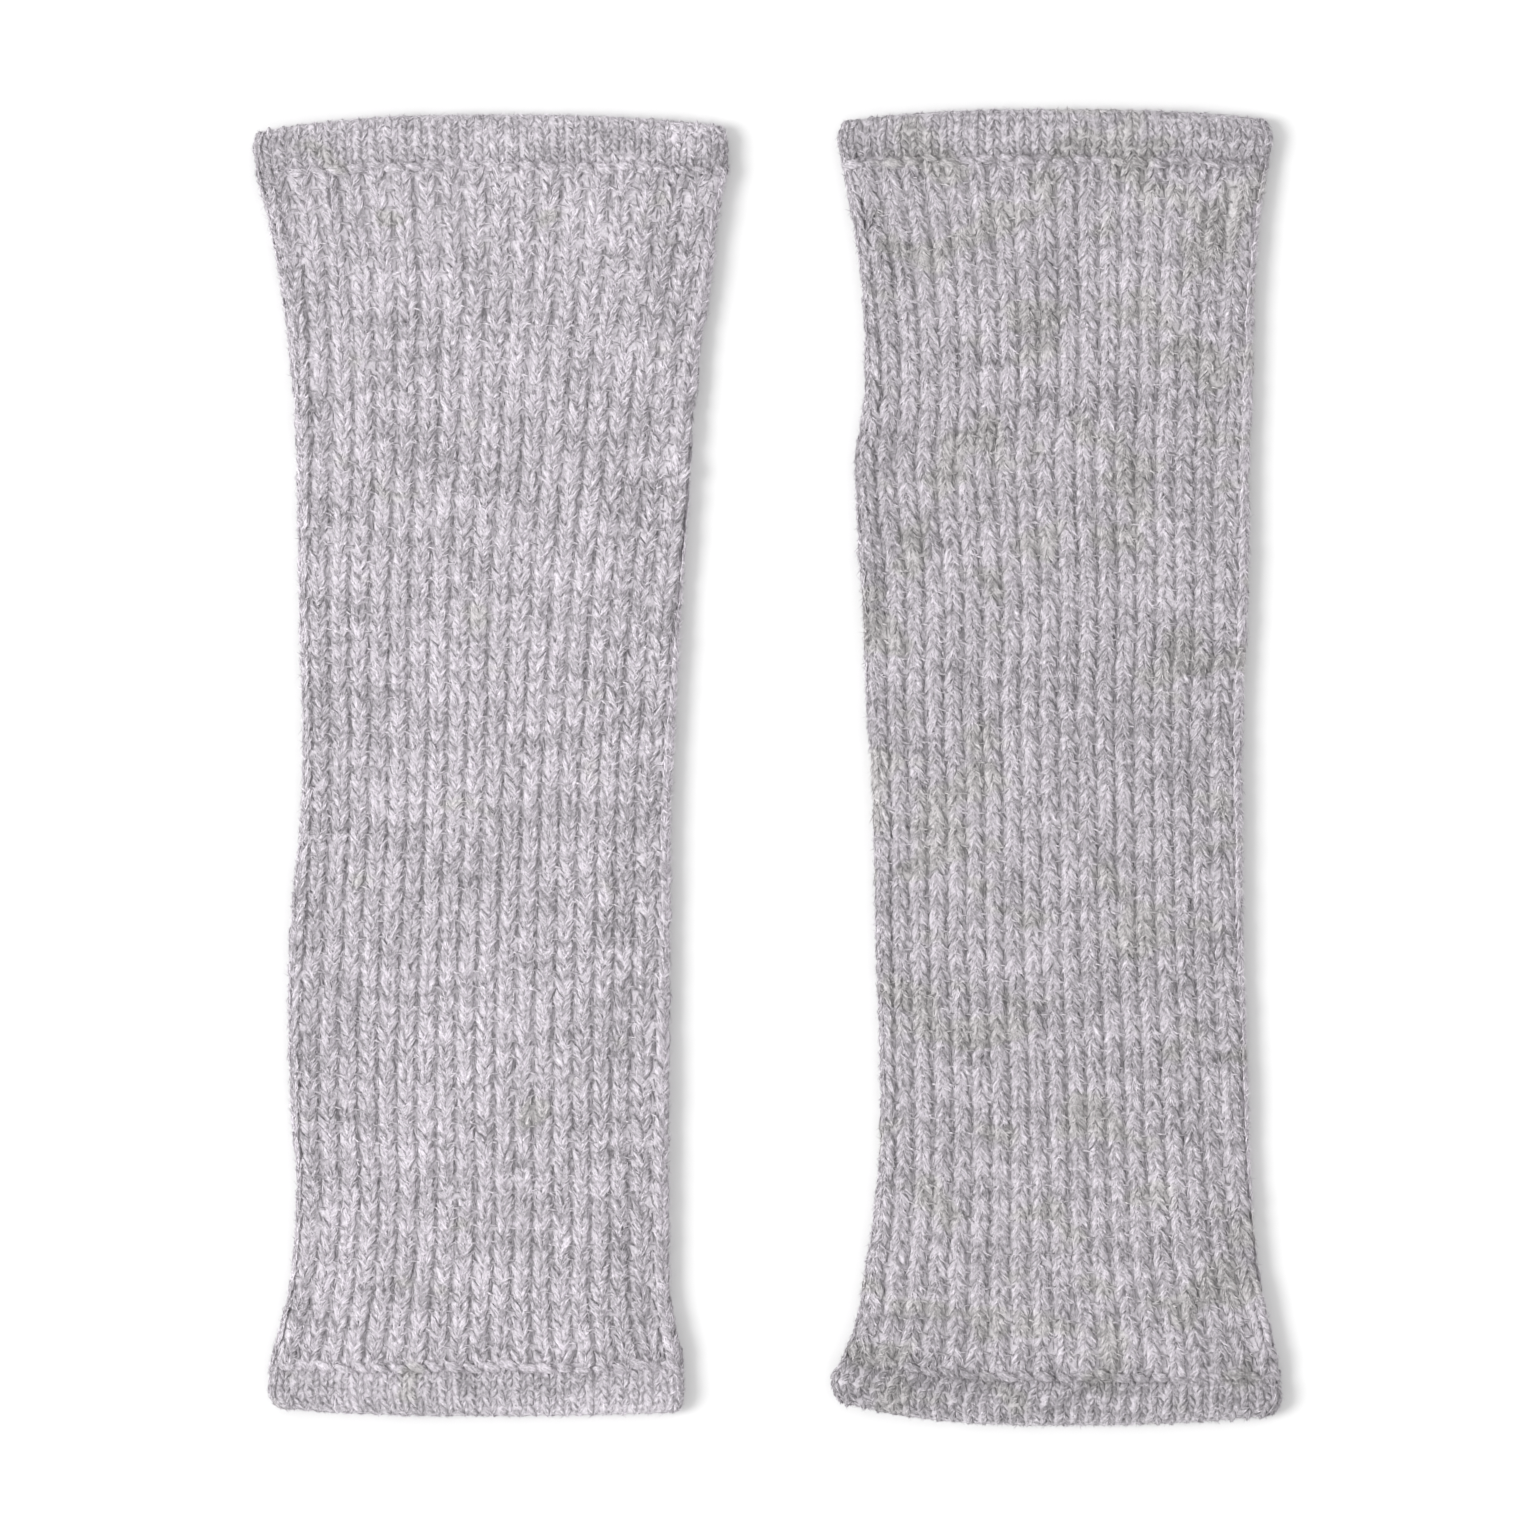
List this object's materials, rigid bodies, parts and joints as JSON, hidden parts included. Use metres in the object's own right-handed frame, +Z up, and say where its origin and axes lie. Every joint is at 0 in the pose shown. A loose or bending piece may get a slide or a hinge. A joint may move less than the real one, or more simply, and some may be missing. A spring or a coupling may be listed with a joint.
{
  "type": "pair of knitted wrist warmers",
  "caption": "Long ribbed knit tubes with a turned hem at each end, a pair laid flat side by side, pulled over the hands and wrists as fingerless gloves.",
  "frame": {"origin": "on the surface the pair lies on, under the middle of the pair's bounding box", "axes": "+Y along the gloves towards the top of the picture, +X to the picture's right, +Z up from the surface"},
  "size_m": [0.2208, 0.2832, 0.0054],
  "materials": {
    "left_wool": "matt, fuzzy grey melange wool knit",
    "right_wool": "matt, fuzzy grey melange wool knit, a little darker"
  },
  "bodies": {
    "root": {"left_rib_front": "left_wool", "left_rib_back": "left_wool", "left_lower_hem_front": "left_wool", "left_lower_hem_back": "left_wool", "left_upper_hem_front": "left_wool", "left_upper_hem_back": "left_wool", "right_rib_front": "right_wool", "right_rib_back": "right_wool", "right_lower_hem_front": "right_wool", "right_lower_hem_back": "right_wool", "right_upper_hem_front": "right_wool", "right_upper_hem_back": "right_wool"}
  },
  "joints": []
}
